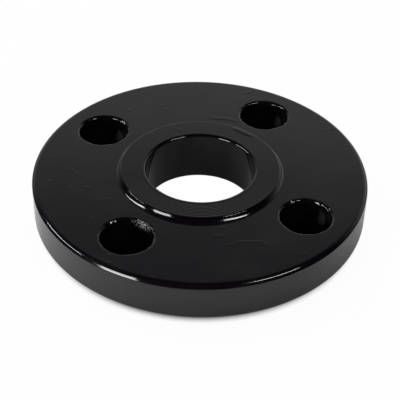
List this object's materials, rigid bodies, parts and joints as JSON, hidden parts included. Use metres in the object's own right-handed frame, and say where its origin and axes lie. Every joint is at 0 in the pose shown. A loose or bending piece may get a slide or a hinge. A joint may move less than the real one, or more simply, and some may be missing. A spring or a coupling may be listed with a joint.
{
  "type": "slip-on flange",
  "caption": "Round black-enamelled steel slip-on pipe flange with a grooved raised gasket face, a bolt circle, a plain bore and a short hub; the pipe slips through the bore and is welded.",
  "frame": {"origin": "centre of the hub's end face, on the axis of the bore, at the height of the surface it lies on", "axes": "+Z along the axis of the bore, from the hub towards the raised gasket face; the bolt holes straddle the X and Y axes"},
  "size_m": [0.108, 0.108, 0.0173],
  "materials": {
    "black_enamel": "gloss"
  },
  "bodies": {
    "root": {"flange": "black_enamel"}
  },
  "joints": []
}
